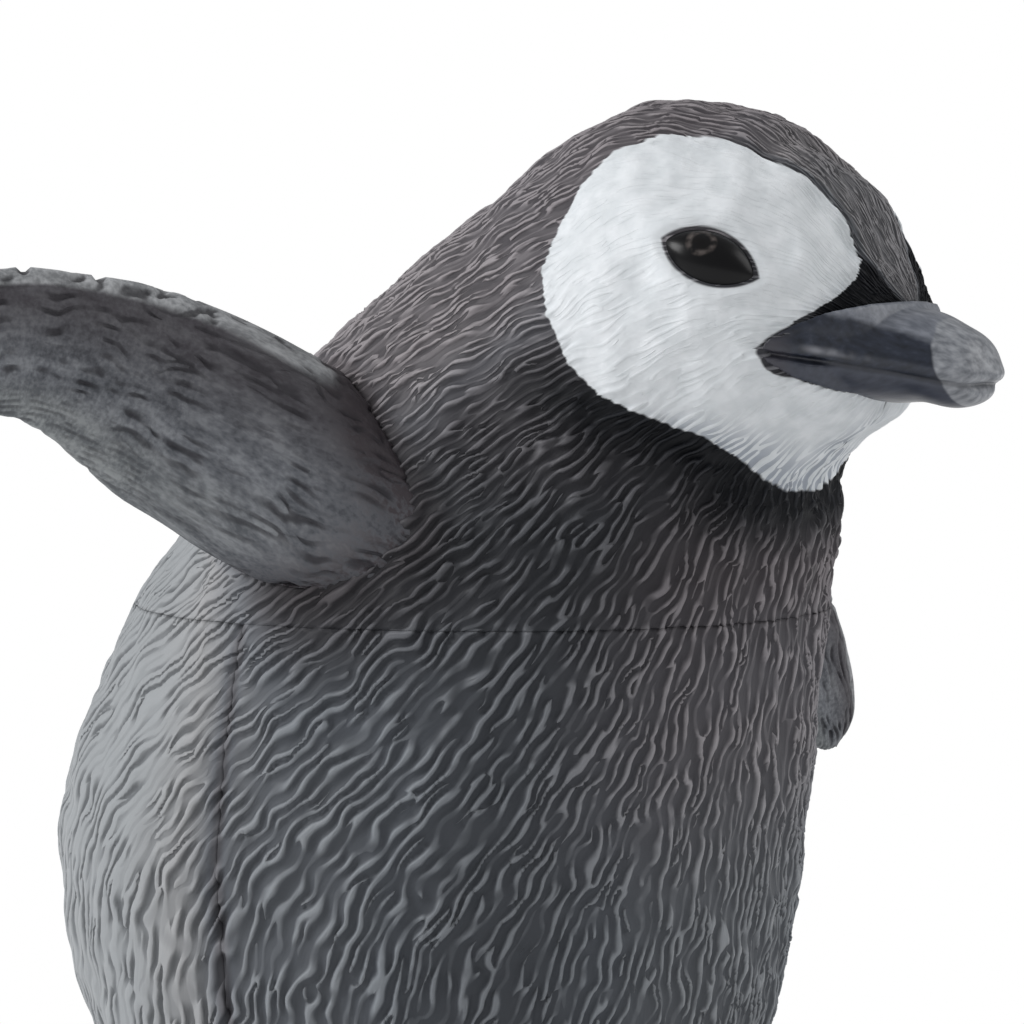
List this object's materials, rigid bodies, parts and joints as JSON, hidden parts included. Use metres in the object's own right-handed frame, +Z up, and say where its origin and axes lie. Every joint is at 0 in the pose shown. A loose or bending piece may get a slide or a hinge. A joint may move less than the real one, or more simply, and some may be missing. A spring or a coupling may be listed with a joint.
{
  "type": "penguin chick figurine",
  "caption": "Standing figurine of a downy penguin chick with a white face, dark short beak and spread flippers, on webbed feet and a tail prop",
  "frame": {"origin": "on the ground, in the middle of the figurine's box", "axes": "+Z up, -Y forwards (the way the chick faces), -X its right side, +X its left side"},
  "size_m": [0.1352, 0.1042, 0.1142],
  "materials": {
    "dark_vinyl": "matte hand-painted soft vinyl, dark grey down with a white face mask",
    "belly_vinyl": "matte hand-painted soft vinyl, dark grey down with lighter strands",
    "grey_vinyl": "matte hand-painted soft vinyl, mid-grey down with lighter strands",
    "flipper_vinyl": "matte soft vinyl, slate grey, dry-brushed along the leading edge",
    "foot_vinyl": "matte soft vinyl, near black",
    "gloss_black": "gloss black",
    "gloss_beak": "satin-gloss blue-black with a paler tip"
  },
  "bodies": {
    "root": {"head_and_shoulders": "dark_vinyl", "belly_shell": "belly_vinyl", "back_shell": "grey_vinyl", "right_flipper": "flipper_vinyl", "left_flipper": "flipper_vinyl", "right_foot": "foot_vinyl", "left_foot": "foot_vinyl", "right_eye": "gloss_black", "left_eye": "gloss_black", "beak": "gloss_beak"}
  },
  "joints": []
}
